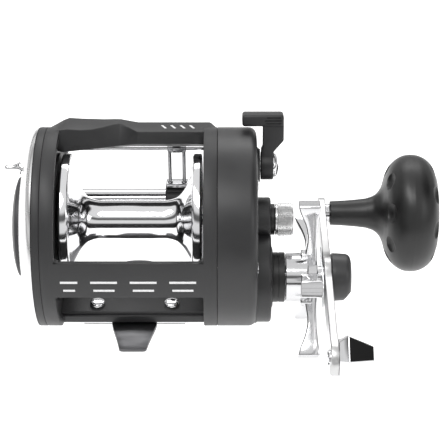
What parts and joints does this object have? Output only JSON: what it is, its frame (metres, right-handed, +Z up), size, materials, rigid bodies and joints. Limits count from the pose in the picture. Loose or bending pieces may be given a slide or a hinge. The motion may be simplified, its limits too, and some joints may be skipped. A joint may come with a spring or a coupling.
{
  "type": "trolling reel",
  "caption": "Level-wind trolling reel with a star drag, counterweighted crank with a ball knob, free-spool lever, click button and a rod foot.",
  "frame": {"origin": "centre of the foot's underside, where it rests on the rod", "axes": "+X along the spool's axis towards the crank, +Y forward to the rod tip, +Z up from the rod"},
  "size_m": [0.1993, 0.1515, 0.1029],
  "materials": {
    "frame_plastic": "fine grained graphite plastic",
    "housing_plastic": "satin graphite plastic",
    "inner_plastic": "smooth moulded plastic",
    "black_plastic": "satin moulded plastic",
    "lever_plastic": "satin moulded plastic",
    "cap_plastic": "satin moulded plastic",
    "dark_disc": "satin",
    "bright_metal": "bright satin",
    "spool_aluminium": "polished, fine turned lines",
    "arm_aluminium": "satin",
    "chrome": "polished",
    "star_chrome": "polished cast",
    "foot_metal": "polished",
    "inner_steel": "machined",
    "brass": "machined",
    "gear_nylon": "moulded",
    "fibre": "woven fibre",
    "knob_rubber": "soft matte"
  },
  "bodies": {
    "root": {"frame": "frame_plastic", "left_plate": "frame_plastic", "silver_ring": "bright_metal", "centre_disc": "dark_disc", "left_gear_cover": "inner_plastic", "right_housing": "housing_plastic", "bridge_plate": "inner_steel", "drive_bush": "brass", "one_way_bearing": "inner_steel", "drive_collar": "black_plastic", "tension_seat": "black_plastic", "tension_shim": "brass", "spool_bearings": "inner_steel", "click_spring": "inner_steel", "worm_bushes": "brass", "worm_tube": "chrome", "guide_rod": "chrome", "yoke_posts": "inner_steel", "foot_base": "chrome", "foot_blade": "foot_metal", "foot_bolts": "chrome", "plate_screws": "chrome"},
    "crank": {"drive_shaft": "inner_steel", "main_gear": "brass", "drag_fibre_washers": "fibre", "drag_steel_washers": "inner_steel", "drag_sleeve": "inner_steel", "spring_washers": "inner_steel", "ratchet_wheel": "inner_steel", "arm_spacer": "chrome", "click_leaf": "inner_steel", "crank_arm": "arm_aluminium", "crank_nut": "inner_steel", "nut_cap": "cap_plastic", "knob_post": "chrome", "counterweight": "chrome", "weight_screw": "chrome"},
    "star": {"star_wheel": "star_chrome"},
    "knob_grip": {"knob": "knob_rubber", "knob_cap": "knob_rubber"},
    "spool_set": {"spool": "spool_aluminium", "spool_shaft": "inner_steel", "click_gear": "brass", "wind_pinion": "gear_nylon"},
    "pinion": {"drive_pinion": "brass"},
    "yoke": {"clutch_yoke": "inner_steel", "yoke_springs": "inner_steel"},
    "lever": {"clutch_lever": "lever_plastic", "lever_screw": "chrome", "clutch_cam": "inner_steel"},
    "dog": {"ratchet_dog": "brass"},
    "idler": {"wind_idler": "gear_nylon"},
    "worm": {"worm_gear": "gear_nylon", "worm_shaft": "inner_steel"},
    "guide": {"guide_carriage": "black_plastic", "guide_head": "chrome", "pawl_nut": "chrome"},
    "pawl": {"guide_pawl": "brass"},
    "tension": {"tension_cap": "bright_metal"},
    "click": {"click_button": "chrome"}
  },
  "joints": [
    {"name": "crank_turn", "type": "hinge", "parent": "root", "child": "crank", "pos_m": [0.0857, -0.014, 0.02609], "axis": [1, 0, 0], "continuous": true},
    {"name": "star_drag", "type": "hinge", "parent": "crank", "child": "star", "pos_m": [0.08, -0.014, 0.02609], "axis": [1, 0, 0], "range_deg": [-180, 180]},
    {"name": "knob_spin", "type": "hinge", "parent": "crank", "child": "knob_grip", "pos_m": [0.11, 0.0395, 0.02609], "axis": [1, 0, 0], "continuous": true},
    {"name": "spool_spin", "type": "hinge", "parent": "root", "child": "spool_set", "pos_m": [0, 0, 0.048], "axis": [1, 0, 0], "continuous": true},
    {"name": "idler_spin", "type": "hinge", "parent": "root", "child": "idler", "pos_m": [-0.036, 0.01613, 0.03834], "axis": [1, 0, 0], "continuous": true},
    {"name": "worm_spin", "type": "hinge", "parent": "root", "child": "worm", "pos_m": [0, 0.036, 0.0361], "axis": [1, 0, 0], "continuous": true},
    {"name": "guide_travel", "type": "slide", "parent": "root", "child": "guide", "axis": [1, 0, 0], "range_m": [-0.043, 0.005]},
    {"name": "pawl_swivel", "type": "hinge", "parent": "guide", "child": "pawl", "pos_m": [0.019, 0.036, 0.03], "axis": [0, 0, 1], "range_deg": [-20, 20]},
    {"name": "lever_throw", "type": "hinge", "parent": "root", "child": "lever", "pos_m": [0.06, 0.009, 0.071], "axis": [1, 0, 0], "range_deg": [0, 20]},
    {"name": "yoke_lift", "type": "slide", "parent": "root", "child": "yoke", "axis": [1, 0, 0], "range_m": [0, 0.0025]},
    {"name": "pinion_shift", "type": "slide", "parent": "spool_set", "child": "pinion", "axis": [1, 0, 0], "range_m": [0, 0.0025]},
    {"name": "dog_swing", "type": "hinge", "parent": "root", "child": "dog", "pos_m": [0.042, -0.0268, 0.0384], "axis": [1, 0, 0], "range_deg": [0, 18]},
    {"name": "tension_turn", "type": "hinge", "parent": "root", "child": "tension", "pos_m": [0.068, 0, 0.048], "axis": [1, 0, 0], "range_deg": [-180, 180]},
    {"name": "click_slide", "type": "slide", "parent": "root", "child": "click", "axis": [-0.212, -0.2101, -0.9544], "range_m": [0, 0.0022]}
  ],
  "couplings": [
    {"joint": "spool_spin", "follows": "crank_turn", "ratio": -2.6111},
    {"joint": "idler_spin", "follows": "crank_turn", "ratio": 0.79784},
    {"joint": "worm_spin", "follows": "crank_turn", "ratio": -2.0516},
    {"joint": "yoke_lift", "follows": "lever_throw", "m_per_rad": 0.00715},
    {"joint": "pinion_shift", "follows": "lever_throw", "m_per_rad": 0.00715}
  ]
}
